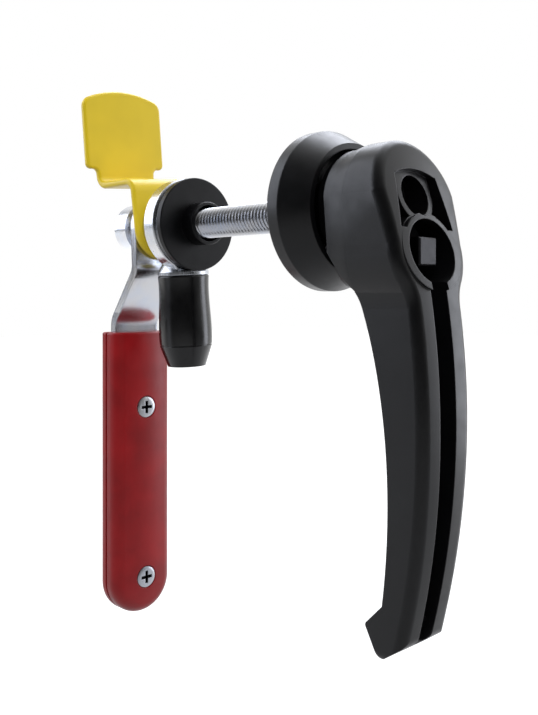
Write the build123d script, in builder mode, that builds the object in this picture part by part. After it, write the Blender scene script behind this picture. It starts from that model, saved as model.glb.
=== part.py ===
"""Locking door handle for a thick insulated door, built from separate named pieces.

Millimetres. +X runs along the spindle out of the door, +Z is up, and the origin is on
the spindle's axis at the rosette's back face, where it meets the door's outer skin.
"""

import os
from math import acos, asin, atan2, cos, hypot, radians, sin, sqrt

from build123d import *

os.makedirs("parts", exist_ok=True)

# Clearances
running_gap = 0.05
face_gap = 0.05
free_gap = 0.3

# Spindle and door
door_thickness = 68.5
spindle_diameter = 11.8
spindle_in_insert = 8.0
spindle_head_diameter = 21.2
spindle_head_height = 5.7
spindle_head_chamfer = 0.6
spindle_socket_flats = 8.0
spindle_socket_depth = 3.6

# Rosette on the outer skin
rosette_diameter = 54.4
rosette_rim_height = 5.0
rosette_height = 14.6
rosette_end_diameter = 44.0
rosette_end_wall = 2.0
rosette_floor = 4.0
rosette_boss_diameter = 23.0
rosette_boss_height = 8.0
rosette_edge_round = 0.7
bush_wall = 2.3
bush_flange_thickness = 1.0
gasket_inner_diameter = 38.0
gasket_width = 4.0
gasket_depth = 1.6

# Outer handle: head, lever and toe
hub_entry = 1.1
hub_inset = 2.6
hub_waist_x = 18.0
hub_flare_x = 26.0
head_radius = 19.75
head_rise = 0.7
lock_land_radius = 18.2
lock_drop = 15.0
lever_shoulder_width = 25.0
lever_belly_width = 24.8
lever_palm_width = 23.3
lever_toe_width = 22.4
lever_shoulder_z = -31.0
lever_belly_z = -66.0
lever_palm_z = -103.0
lever_toe_z = -126.0
neck_blend = 12.0
face_radius = 252.0
face_apex_x = 51.35
face_apex_z = -69.0
face_edge_round = 3.2
hub_undercut_z = -7.5
lever_root_z = -28.0
lever_root_thickness = 21.8
belly_thickness = 15.3
palm_thickness = 12.0
toe_root_z = -124.0
toe_root_thickness = 10.55
toe_tip_z = -131.0
toe_reach = 6.9
toe_heel_step = 5.6
toe_bottom_z = -141.3
face_bottom_z = -134.8
face_bottom_round = 5.0
toe_round = 1.2
journal_diameter = 16.8
insert_setback = 4.5
insert_diameter = 15.6
insert_length = 9.0

# Cored face of the handle
slot_top_width = 8.3
slot_bottom_width = 6.9
slot_taper_z = -72.0
slot_depth = 7.0
slot_bottom_z = -132.0
slot_end_slant = 5.0
ring_land_width = 29.2
ring_land_height = 25.4
ring_flush_z = -6.0
ring_root = 6.0
core_top_z = 11.5
core_top_half_width = 10.4
core_bottom_z = -8.0
core_bottom_half_width = 13.2
core_corner_round = 2.4
core_step = 2.0
core_depth = 10.0
core_hole_diameter = 13.0
core_hole_z = 2.6
core_hole_depth = 11.0
core_hole_wall = 2.1
lock_ring_wall = 1.6

# Square-key lock
lock_recess_width = 22.4
lock_recess_height = 20.4
lock_recess_floor_x = 33.0
lock_barrel_diameter = 23.0
lock_flange_diameter = 18.8
lock_flange_thickness = 2.0
key_square = 8.8
key_post_end_x = 44.0
key_post_chamfer = 0.5
lock_tail_diameter = 12.4
lock_tail_end_x = 9.7
lock_tail_relief = 0.3
circlip_thickness = 1.2
circlip_groove = 0.8
circlip_stand = 1.0
circlip_mouth = 5.0
circlip_pocket_depth = 2.6

# Bearing disc on the inner skin
disc_diameter = 37.3
disc_thickness = 2.7
disc_edge_round = 0.4
disc_boss_length = 7.0
disc_boss_wall = 1.3
disc_boss_chamfer = 0.3
collar_diameter = 14.3
collar_recess = 0.3
washer_diameter = 35.2
washer_thickness = 1.9

# Cam arm and roller
arm_set_deg = 2.9
arm_thickness = 6.7
arm_hub_diameter = 37.4
arm_tongue_width = 15.5
arm_edge_round = 0.7
arm_foot_diameter = 21.0
arm_foot_offset = 2.9
arm_foot_top = 18.9
arm_foot_thickness = 1.3
arm_boss_height = 7.0
arm_boss_diameter = 14.0
arm_shoulder_blend = 4.0
axle_diameter = 8.0
axle_spigot_diameter = 4.8
axle_spigot_length = 8.0
axle_head_diameter = 12.0
axle_head_height = 3.4
axle_socket_flats = 4.0
axle_socket_depth = 2.0
axle_socket_inset = 2.6
roller_length = 37.4
roller_top_diameter = 21.1
roller_waist_diameter = 20.6
roller_waist_drop = 9.0
roller_belly_diameter = 21.8
roller_belly_drop = 22.5
roller_rim_diameter = 21.5
roller_nose_diameter = 15.6
roller_nose_length = 9.0
roller_groove_depth = 0.4
roller_groove_width = 0.5
roller_edge_round = 0.8

# Stack behind the arm
spacer_diameter = 22.0
spacer_length = 11.4
spigot_diameter = 15.0
catch_sheet = 2.8
bar_thickness = 3.5
sleeve_diameter = 17.0
sleeve_length = 9.6

# Folded safety catch
catch_set_deg = 4.4
catch_ring_diameter = 27.2
catch_strap_width = 29.6
catch_shelf_z = 20.9
catch_shelf_reach = 24.1
catch_bend = 2.8
catch_edge_round = 1.2
flag_width = 40.0
flag_bottom_z = 26.9
flag_shoulder_z = 56.3
flag_top_z = 60.7
flag_corner_round = 5.0
flag_heel_round = 2.2

# Inner lever and its grip
bar_hub_diameter = 25.0
bar_width = 22.0
bar_neck_z = -36.0
bar_bend = 6.0
bar_upper_bend_z = -19.0
bar_lower_bend_z = -40.0
bar_offset = 16.85
bar_end_z = -160.0
grip_width = 29.0
grip_top_z = -44.5
grip_bottom_z = -166.2
grip_parting = 1.0
grip_front_crown = 8.6
grip_front_side = 6.3
grip_front_round = 5.4
grip_rear_crown = 6.3
grip_rear_side = 4.2
grip_rear_round = 3.4
grip_top_round = 1.0
grip_screw_z = (-76.9, -150.3)
screw_diameter = 5.0
screw_head_diameter = 9.0
screw_recess_gap = 0.4
screw_head_rim = 0.5
screw_cone_height = 2.2
screw_cross_length = 5.2
screw_cross_width = 1.3
screw_cross_depth = 1.9
nut_flats = 8.0
nut_thickness = 4.0

# Places along the spindle, from the door's inner skin inwards
disc_x = -door_thickness
washer_x = disc_x - disc_thickness
arm_x = washer_x - washer_thickness - face_gap
spacer_x = arm_x - arm_thickness
catch_x = spacer_x - spacer_length - face_gap
bar_x = catch_x - catch_sheet - face_gap
sleeve_x = bar_x - bar_thickness
head_x = sleeve_x - sleeve_length

# Places along the spindle, from the door's outer skin outwards
bush_top_x = rosette_boss_height + bush_flange_thickness
journal_x = bush_top_x + face_gap
hub_x = rosette_height - hub_entry
barrel_x = rosette_height + free_gap
insert_x = hub_x + insert_setback
spindle_end_x = insert_x + spindle_in_insert

spindle_radius = spindle_diameter / 2
head_top_z = head_rise + head_radius
lock_z = -lock_drop
grip_face_x = bar_x - bar_offset


def face_x(z):
    """Place of the handle's curved outer face at height z."""
    return face_apex_x - face_radius + sqrt(face_radius**2 - (z - face_apex_z) ** 2)


def face_plane(z, inset):
    """Plane that touches the handle's outer face at height z, sunk by inset."""
    normal = Vector(face_radius - face_apex_x + face_x(z), 0, z - face_apex_z).normalized()
    return Plane(Vector(face_x(z), 0, z) - normal * inset, x_dir=(0, 1, 0), z_dir=normal)


def head_outline(inset):
    """Edges of the teardrop round the spindle and the lock, drawn smaller by inset."""
    slope = asin((head_radius - lock_land_radius) / (lock_drop + head_rise))
    upper = head_radius - inset
    lower = lock_land_radius - inset
    upper_side = (upper * cos(slope), head_rise + upper * sin(slope))
    lower_side = (lower * cos(slope), lock_z + lower * sin(slope))
    upper_far = (-upper_side[0], upper_side[1])
    lower_far = (-lower_side[0], lower_side[1])
    with BuildLine() as outline:
        ThreePointArc(upper_far, (0, head_rise + upper), upper_side)
        Line(upper_side, lower_side)
        ThreePointArc(lower_side, (0, lock_z - lower), lower_far)
        Line(lower_far, upper_far)
    return outline.edges()


def turned_planes(angle):
    """Front and side planes of a piece that is set on the spindle at an angle."""
    across = (0, cos(radians(angle)), sin(radians(angle)))
    edge_on = (0, -cos(radians(angle)), -sin(radians(angle)))
    front = Plane((0, 0, 0), x_dir=across, z_dir=(1, 0, 0))
    side = Plane((0, 0, 0), x_dir=(1, 0, 0), z_dir=edge_on)
    return front, side


def sheet_rims(sheet, across, thickness):
    """Edges round a folded sheet's outline, without its bend lines and corner edges."""
    rims = []
    for edge in sheet.edges():
        straight = edge.geom_type == GeomType.LINE
        along_bend = abs(edge.tangent_at(0).dot(across)) > 0.999
        bend_line = straight and along_bend and edge.length > 4 * thickness
        corner = straight and abs(edge.tangent_at(0).X) > 0.999 and edge.length < 2 * thickness
        if not bend_line and not corner:
            rims.append(edge)
    return rims


# Rosette: a turned cup with a coned side, a boss for the bush and lock scallops
with BuildPart() as rosette:
    rosette_radius = rosette_diameter / 2
    end_radius = rosette_end_diameter / 2
    cup_radius = end_radius - rosette_end_wall
    boss_radius = rosette_boss_diameter / 2
    bush_radius = spindle_radius + running_gap + bush_wall
    with BuildSketch(Plane.XZ):
        with BuildLine():
            Polyline(
                (0, bush_radius),
                (0, rosette_radius),
                (rosette_rim_height, rosette_radius),
                (rosette_height, end_radius),
                (rosette_height, cup_radius),
                (rosette_floor, cup_radius),
                (rosette_floor, boss_radius),
                (rosette_boss_height, boss_radius),
                (rosette_boss_height, bush_radius),
                close=True,
            )
        make_face()
    revolve(axis=Axis.X)
    rim_edges = rosette.edges().filter_by(GeomType.CIRCLE).group_by(SortBy.RADIUS)[-1]
    fillet(rim_edges, radius=rosette_edge_round)
    with BuildSketch(Plane.YZ):
        Circle(gasket_inner_diameter / 2 + gasket_width)
        Circle(gasket_inner_diameter / 2, mode=Mode.SUBTRACT)
    extrude(amount=gasket_depth, mode=Mode.SUBTRACT)
    with BuildSketch(Plane.YZ.offset(lock_tail_end_x - free_gap)):
        with PolarLocations(lock_drop, 2, start_angle=-90, angular_range=90, endpoint=True):
            Circle(lock_tail_diameter / 2 + lock_tail_relief)
    extrude(amount=rosette_height, mode=Mode.SUBTRACT)
rosette.part.label = "rosette"
export_step(rosette.part, "parts/rosette.step")

with BuildPart() as rosette_gasket:
    with BuildSketch(Plane.YZ):
        Circle(gasket_inner_diameter / 2 + gasket_width)
        Circle(gasket_inner_diameter / 2, mode=Mode.SUBTRACT)
    extrude(amount=gasket_depth)
rosette_gasket.part.label = "rosette_gasket"
export_step(rosette_gasket.part, "parts/rosette_gasket.step")

with BuildPart() as rosette_bush:
    with BuildSketch(Plane.YZ):
        Circle(bush_radius)
    extrude(amount=rosette_boss_height)
    with BuildSketch(Plane.YZ.offset(rosette_boss_height)):
        Circle(journal_diameter / 2)
    extrude(amount=bush_flange_thickness)
    with BuildSketch(Plane.YZ):
        Circle(spindle_radius + running_gap)
    extrude(amount=bush_top_x, mode=Mode.SUBTRACT)
rosette_bush.part.label = "rosette_bush"
export_step(rosette_bush.part, "parts/rosette_bush.step")

# Cutter for the long slot that runs down the lever's face
with BuildPart() as slot_cutter:
    with BuildSketch(Plane.XZ):
        with BuildLine():
            slot_top = (face_x(lock_z) - slot_depth, lock_z)
            slot_foot_z = slot_bottom_z + slot_end_slant
            slot_foot = (face_x(slot_foot_z) - slot_depth, slot_foot_z)
            ThreePointArc(slot_top, (face_apex_x - slot_depth, face_apex_z), slot_foot)
            Polyline(
                slot_foot,
                (face_x(slot_bottom_z), slot_bottom_z),
                (face_apex_x + slot_depth, slot_bottom_z),
                (face_apex_x + slot_depth, lock_z),
                slot_top,
            )
        make_face()
    extrude(amount=slot_top_width, both=True)
    with BuildSketch(Plane.YZ):
        with BuildLine():
            Polyline(
                (slot_top_width / 2, lock_z),
                (slot_top_width / 2, slot_taper_z),
                (slot_bottom_width / 2, slot_bottom_z),
                (-slot_bottom_width / 2, slot_bottom_z),
                (-slot_top_width / 2, slot_taper_z),
                (-slot_top_width / 2, lock_z),
                close=True,
            )
        make_face()
    extrude(amount=2 * face_apex_x, mode=Mode.INTERSECT)

# Side profile of the outer handle, and the same profile with its toe rounded off
with BuildSketch(Plane.XZ) as handle_side:
    with BuildLine():
        toe_back = (face_x(toe_root_z) - toe_root_thickness, toe_root_z)
        toe_tip = (toe_back[0] - toe_reach, toe_tip_z)
        toe_heel = (toe_tip[0] + toe_heel_step, toe_bottom_z)
        root_back = (face_x(lever_root_z) - lever_root_thickness, lever_root_z)
        belly_back = (face_x(lever_belly_z) - belly_thickness, lever_belly_z)
        palm_back = (face_x(lever_palm_z) - palm_thickness, lever_palm_z)
        face_top = (face_x(head_top_z), head_top_z)
        face_bottom = (face_x(face_bottom_z), face_bottom_z)
        Line(face_top, (hub_x, head_top_z))
        Line((hub_x, head_top_z), (hub_x, hub_undercut_z))
        Line((hub_x, hub_undercut_z), root_back)
        Spline(root_back, belly_back, palm_back, toe_back)
        Polyline(toe_back, toe_tip, toe_heel, face_bottom)
        ThreePointArc(face_bottom, (face_apex_x, face_apex_z), face_top)
    make_face()
with BuildSketch(Plane.XZ) as rounded_side:
    add(handle_side.sketch_local)
    for corner, radius in ((face_bottom, face_bottom_round), (toe_heel, toe_round), (toe_tip, toe_round)):
        fillet(rounded_side.vertices().sort_by_distance((*corner, 0))[0], radius=radius)

# Outer handle: one moulding, made where its front outline and its side profile meet
with BuildPart() as outer_handle:
    with BuildSketch(Plane.YZ.offset(hub_flare_x)) as handle_front:
        make_face(head_outline(0))
        with BuildLine():
            right_side = [
                (lever_shoulder_width / 2, lock_z),
                (lever_shoulder_width / 2, lever_shoulder_z),
                (lever_belly_width / 2, lever_belly_z),
                (lever_palm_width / 2, lever_palm_z),
                (lever_toe_width / 2, lever_toe_z),
                (lever_toe_width / 2, toe_bottom_z),
            ]
            left_side = [(-y, z) for y, z in reversed(right_side)]
            Spline(*right_side[:5])
            Polyline(right_side[4], right_side[5], left_side[0], left_side[1])
            Spline(*left_side[1:])
            Line(left_side[5], right_side[0])
        make_face()
        neck = handle_front.vertices().filter_by_position(
            Axis.Y, lever_shoulder_z, lock_z, inclusive=(False, False)
        )
        fillet(neck, radius=neck_blend)
        toe = handle_front.vertices().group_by(Axis.Y)[0]
        fillet(toe, radius=face_edge_round)
    extrude(amount=face_apex_x - hub_flare_x)
    hub_middle_x = (hub_waist_x + hub_flare_x) / 2
    for x, inset in (
        (hub_x, hub_inset),
        (hub_waist_x, hub_inset),
        (hub_middle_x, hub_inset / 2),
        (hub_flare_x + free_gap, running_gap),
    ):
        with BuildSketch(Plane.YZ.offset(x)):
            make_face(head_outline(inset))
    loft()
    with BuildSketch(Plane.XZ):
        add(handle_side.sketch_local)
    extrude(amount=2 * head_radius, both=True, mode=Mode.INTERSECT)
    outer_face = outer_handle.faces().sort_by(Axis.X)[-1]
    fillet(outer_face.edges().sort_by(Axis.Z)[1:], radius=face_edge_round)
    with BuildSketch(Plane.XZ):
        add(handle_side.sketch_local)
        add(rounded_side.sketch_local, mode=Mode.SUBTRACT)
    extrude(amount=2 * head_radius, both=True, mode=Mode.SUBTRACT)
    # Lock barrel, hub journal and the flat land round the lock
    with BuildSketch(Plane.YZ.offset(barrel_x)):
        with Locations((0, lock_z)):
            Circle(lock_barrel_diameter / 2)
    extrude(amount=lock_recess_floor_x - barrel_x)
    with BuildSketch(Plane.YZ.offset(journal_x)):
        Circle(journal_diameter / 2)
    extrude(amount=insert_x - journal_x)
    ring_plane = face_plane(ring_flush_z, 0)
    with BuildSketch(ring_plane):
        with Locations((0, (lock_z - ring_flush_z) / ring_plane.y_dir.Z)):
            Ellipse(ring_land_width / 2, ring_land_height / 2)
    extrude(amount=-ring_root)
    # Lock recess, plug bore and circlip pocket
    with BuildSketch(Plane.YZ.offset(lock_recess_floor_x)):
        with Locations((0, lock_z)):
            Ellipse(lock_recess_width / 2, lock_recess_height / 2)
    extrude(amount=face_apex_x, mode=Mode.SUBTRACT)
    with BuildSketch(Plane.YZ.offset(hub_x)):
        with Locations((0, lock_z)):
            Circle(lock_tail_diameter / 2 + running_gap)
    extrude(amount=lock_recess_floor_x - hub_x, mode=Mode.SUBTRACT)
    with BuildSketch(Plane.YZ.offset(hub_x)):
        with Locations((0, lock_z)):
            Circle(lock_tail_diameter / 2 + circlip_stand + free_gap)
    extrude(amount=barrel_x + circlip_pocket_depth - hub_x, mode=Mode.SUBTRACT)
    add(slot_cutter.part, mode=Mode.SUBTRACT)
    # Cored head: a shallow step, two deep side pockets and a round hole
    core_plane = face_plane(core_hole_z, core_step)
    core_top = core_top_z - core_hole_z
    core_bottom = core_bottom_z - core_hole_z
    core_shoulder = core_top - core_corner_round
    ring_wall_width = lock_recess_width + 2 * lock_ring_wall
    ring_wall_height = lock_recess_height + 2 * lock_ring_wall
    with BuildSketch(core_plane):
        with BuildLine():
            ThreePointArc(
                (-core_top_half_width, core_shoulder),
                (0, core_top),
                (core_top_half_width, core_shoulder),
            )
            Polyline(
                (core_top_half_width, core_shoulder),
                (core_bottom_half_width, core_bottom),
                (-core_bottom_half_width, core_bottom),
                (-core_top_half_width, core_shoulder),
            )
        make_face()
        with Locations((0, lock_z - core_hole_z)):
            Ellipse(ring_wall_width / 2, ring_wall_height / 2, mode=Mode.SUBTRACT)
    extrude(amount=2 * core_step, mode=Mode.SUBTRACT)
    core_tube_radius = core_hole_diameter / 2 + core_hole_wall
    with BuildSketch(Plane.YZ.offset(face_x(core_hole_z) - core_depth)):
        with BuildLine():
            Polyline(
                (core_top_half_width, core_top_z - core_corner_round),
                (core_bottom_half_width, core_bottom_z),
                (-core_bottom_half_width, core_bottom_z),
                (-core_top_half_width, core_top_z - core_corner_round),
                close=True,
            )
        make_face()
        with Locations((0, lock_z)):
            Ellipse(ring_wall_width / 2, ring_wall_height / 2, mode=Mode.SUBTRACT)
        with Locations((0, core_hole_z)):
            Circle(core_tube_radius, mode=Mode.SUBTRACT)
            Rectangle(
                2 * core_tube_radius,
                core_top_z,
                align=(Align.CENTER, Align.MIN),
                mode=Mode.SUBTRACT,
            )
    extrude(amount=2 * core_depth, mode=Mode.SUBTRACT)
    with BuildSketch(Plane.YZ.offset(face_x(core_hole_z) - core_hole_depth)):
        with Locations((0, core_hole_z)):
            Circle(core_hole_diameter / 2)
    extrude(amount=2 * core_hole_depth, mode=Mode.SUBTRACT)
    # Spindle hole and the seat of the threaded insert
    with BuildSketch(Plane.YZ.offset(journal_x)):
        Circle(spindle_radius + free_gap)
    extrude(amount=insert_x - journal_x, mode=Mode.SUBTRACT)
    with BuildSketch(Plane.YZ.offset(insert_x)):
        Circle(insert_diameter / 2)
    extrude(amount=insert_length, mode=Mode.SUBTRACT)
outer_handle.part.label = "outer_handle"
export_step(outer_handle.part, "parts/outer_handle.step")

with BuildPart() as threaded_insert:
    with BuildSketch(Plane.YZ.offset(insert_x)):
        Circle(insert_diameter / 2)
    extrude(amount=insert_length)
    with BuildSketch(Plane.YZ.offset(insert_x)):
        Circle(spindle_radius)
    extrude(amount=spindle_in_insert, mode=Mode.SUBTRACT)
threaded_insert.part.label = "threaded_insert"
export_step(threaded_insert.part, "parts/threaded_insert.step")

# Square-key lock plug: its tail fills a scallop of the rosette after half a turn
circlip_x = barrel_x + circlip_pocket_depth - face_gap - circlip_thickness
tail_radius = lock_tail_diameter / 2
groove_radius = tail_radius - circlip_groove
with BuildPart() as lock_plug:
    with BuildSketch(Plane.YZ.offset(lock_tail_end_x)):
        with Locations((0, lock_z)):
            Circle(tail_radius)
    extrude(amount=lock_recess_floor_x + face_gap - lock_tail_end_x)
    with BuildSketch(Plane.YZ.offset(lock_recess_floor_x + face_gap)):
        with Locations((0, lock_z)):
            Circle(lock_flange_diameter / 2)
    extrude(amount=lock_flange_thickness)
    with BuildSketch(Plane.YZ.offset(lock_recess_floor_x + lock_flange_thickness)):
        with Locations((0, lock_z)):
            Rectangle(key_square, key_square)
    extrude(amount=key_post_end_x - lock_recess_floor_x - lock_flange_thickness)
    chamfer(lock_plug.faces().sort_by(Axis.X)[-1].edges(), length=key_post_chamfer)
    with BuildSketch(Plane.YZ.offset(lock_tail_end_x)):
        Circle(rosette_diameter)
        Circle(cup_radius - free_gap, mode=Mode.SUBTRACT)
    extrude(amount=barrel_x - lock_tail_end_x, mode=Mode.SUBTRACT)
    with BuildSketch(Plane.YZ.offset(circlip_x)):
        with Locations((0, lock_z)):
            Circle(lock_flange_diameter)
            Circle(groove_radius, mode=Mode.SUBTRACT)
    extrude(amount=circlip_thickness, mode=Mode.SUBTRACT)
lock_plug.part.label = "lock_plug"
export_step(lock_plug.part, "parts/lock_plug.step")

with BuildPart() as lock_circlip:
    with BuildSketch(Plane.YZ.offset(circlip_x)):
        with Locations((0, lock_z)):
            Circle(tail_radius + circlip_stand)
            Circle(groove_radius, mode=Mode.SUBTRACT)
            Rectangle(
                circlip_mouth,
                lock_tail_diameter,
                align=(Align.CENTER, Align.MAX),
                mode=Mode.SUBTRACT,
            )
    extrude(amount=circlip_thickness)
lock_circlip.part.label = "lock_circlip"
export_step(lock_circlip.part, "parts/lock_circlip.step")

# Spindle: a long round-headed bolt from the inner side, its thread left plain here
with BuildPart() as spindle_bolt:
    with BuildSketch(Plane.YZ.offset(head_x)):
        Circle(spindle_radius)
    extrude(amount=spindle_end_x - head_x)
    with BuildSketch(Plane.YZ.offset(head_x)):
        Circle(spindle_head_diameter / 2)
    extrude(amount=-spindle_head_height)
    head_face = spindle_bolt.faces().sort_by(Axis.X)[0]
    chamfer(head_face.edges(), length=spindle_head_chamfer)
    with BuildSketch(Plane.YZ.offset(head_x - spindle_head_height)):
        RegularPolygon(spindle_socket_flats / 2, 6, major_radius=False)
    extrude(amount=spindle_socket_depth, mode=Mode.SUBTRACT)
spindle_bolt.part.label = "spindle_bolt"
export_step(spindle_bolt.part, "parts/spindle_bolt.step")

# Bearing disc on the inner skin: its boss enters the door's hole and runs on the collar nut
with BuildPart() as bearing_disc:
    disc_bore = collar_diameter / 2 + running_gap
    with BuildSketch(Plane.YZ.offset(washer_x)):
        Circle(disc_diameter / 2)
    extrude(amount=disc_thickness)
    disc_rims = bearing_disc.edges().filter_by(GeomType.CIRCLE).group_by(SortBy.RADIUS)[-1]
    fillet(disc_rims, radius=disc_edge_round)
    with BuildSketch(Plane.YZ.offset(washer_x)):
        Circle(disc_bore + disc_boss_wall)
    extrude(amount=disc_thickness + disc_boss_length)
    chamfer(bearing_disc.faces().sort_by(Axis.X)[-1].edges(), length=disc_boss_chamfer)
    with BuildSketch(Plane.YZ.offset(washer_x)):
        Circle(disc_bore)
    extrude(amount=disc_thickness + disc_boss_length, mode=Mode.SUBTRACT)
bearing_disc.part.label = "bearing_disc"
export_step(bearing_disc.part, "parts/bearing_disc.step")

with BuildPart() as thrust_washer:
    with BuildSketch(Plane.YZ.offset(washer_x - washer_thickness)):
        Circle(washer_diameter / 2)
        Circle(disc_bore, mode=Mode.SUBTRACT)
    extrude(amount=washer_thickness)
thrust_washer.part.label = "thrust_washer"
export_step(thrust_washer.part, "parts/thrust_washer.step")

with BuildPart() as collar_nut:
    with BuildSketch(Plane.YZ.offset(arm_x)):
        Circle(collar_diameter / 2)
        Circle(spindle_radius, mode=Mode.SUBTRACT)
    extrude(amount=disc_x - collar_recess - arm_x)
collar_nut.part.label = "collar_nut"
export_step(collar_nut.part, "parts/collar_nut.step")

# Cam arm: a round hub with a flared foot, set on the spindle at a small angle
arm_front, arm_side = turned_planes(arm_set_deg)
arm_up = arm_front.y_dir
roller_centre = Vector(arm_x - arm_thickness / 2 - arm_foot_offset, 0, 0)
foot_reach = arm_foot_top + arm_foot_thickness
foot_plane = Plane(roller_centre - arm_up * foot_reach, x_dir=(1, 0, 0), z_dir=-arm_up)
boss_radius_at = ((-arm_foot_thickness, arm_foot_diameter / 2), (-arm_boss_height, arm_boss_diameter / 2))
with BuildPart() as cam_arm:
    with BuildSketch(arm_front.offset(spacer_x)) as arm_outline:
        Circle(arm_hub_diameter / 2)
        Rectangle(arm_tongue_width, foot_reach, align=(Align.CENTER, Align.MAX))
        shoulder = arm_outline.vertices().group_by(Axis.Y)[1]
        fillet(shoulder, radius=arm_shoulder_blend)
    extrude(amount=arm_thickness)
    arm_faces = cam_arm.faces().filter_by(Axis.X)
    fillet(arm_faces.edges(), radius=arm_edge_round)
    for height, radius in boss_radius_at:
        with BuildSketch(foot_plane.offset(height)):
            Circle(radius)
    loft()
    with BuildSketch(Plane.YZ.offset(arm_x)):
        Circle(arm_foot_top)
    extrude(amount=arm_foot_diameter, mode=Mode.SUBTRACT)
    with BuildSketch(foot_plane):
        Circle(arm_foot_diameter / 2)
    extrude(amount=-arm_foot_thickness)
    with BuildSketch(Plane.YZ.offset(spacer_x)):
        Circle(spindle_radius)
    extrude(amount=arm_thickness, mode=Mode.SUBTRACT)
    with BuildSketch(foot_plane):
        Circle(axle_spigot_diameter / 2)
    extrude(amount=-axle_spigot_length, mode=Mode.SUBTRACT)
cam_arm.part.label = "cam_arm"
export_step(cam_arm.part, "parts/cam_arm.step")

# Roller on its shoulder screw
roller_top = face_gap
roller_bottom = roller_top + roller_length
axle_head_top = roller_bottom - axle_socket_inset - axle_head_height
with BuildPart() as roller_axle:
    with BuildSketch(foot_plane):
        Circle(axle_spigot_diameter / 2)
    extrude(amount=-axle_spigot_length)
    with BuildSketch(foot_plane):
        Circle(axle_diameter / 2)
    extrude(amount=axle_head_top)
    with BuildSketch(foot_plane.offset(axle_head_top)):
        Circle(axle_head_diameter / 2)
    extrude(amount=axle_head_height)
    with BuildSketch(foot_plane.offset(axle_head_top + axle_head_height)):
        RegularPolygon(axle_socket_flats / 2, 6, major_radius=False)
    extrude(amount=-axle_socket_depth, mode=Mode.SUBTRACT)
roller_axle.part.label = "roller_axle"
export_step(roller_axle.part, "parts/roller_axle.step")

with BuildPart() as roller:
    bore_radius = axle_diameter / 2 + running_gap
    counterbore_radius = axle_head_diameter / 2 + free_gap
    rim_radius = roller_rim_diameter / 2
    rim_y = roller_bottom - roller_nose_length
    groove_floor = rim_radius - roller_groove_depth
    groove_end = rim_y + roller_groove_width
    with BuildSketch(Plane(foot_plane.origin, x_dir=(1, 0, 0), z_dir=arm_side.z_dir)) as roller_half:
        with BuildLine():
            Polyline(
                (groove_floor, -rim_y),
                (groove_floor, -groove_end),
                (rim_radius, -groove_end),
                (roller_nose_diameter / 2, -roller_bottom),
                (counterbore_radius, -roller_bottom),
                (counterbore_radius, face_gap - axle_head_top),
                (bore_radius, face_gap - axle_head_top),
                (bore_radius, -roller_top),
                (roller_top_diameter / 2, -roller_top),
            )
            Spline(
                (roller_top_diameter / 2, -roller_top),
                (roller_waist_diameter / 2, -roller_waist_drop),
                (roller_belly_diameter / 2, -roller_belly_drop),
                (rim_radius, -rim_y),
            )
            Line((rim_radius, -rim_y), (groove_floor, -rim_y))
        make_face()
        roller_corner = roller_half.vertices().sort_by_distance((roller_top_diameter / 2, -roller_top, 0))[0]
        fillet(roller_corner, radius=roller_edge_round)
    revolve(axis=Axis(roller_centre, arm_up))
roller.part.label = "roller"
export_step(roller.part, "parts/roller.step")

# Spacer that carries the catch on its spigot
with BuildPart() as hub_spacer:
    with BuildSketch(Plane.YZ.offset(spacer_x)):
        Circle(spacer_diameter / 2)
    extrude(amount=-spacer_length)
    with BuildSketch(Plane.YZ.offset(spacer_x - spacer_length)):
        Circle(spigot_diameter / 2)
    extrude(amount=bar_x - spacer_x + spacer_length)
    with BuildSketch(Plane.YZ.offset(spacer_x)):
        Circle(spindle_radius)
    extrude(amount=bar_x - spacer_x, mode=Mode.SUBTRACT)
hub_spacer.part.label = "hub_spacer"
export_step(hub_spacer.part, "parts/hub_spacer.step")

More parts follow.
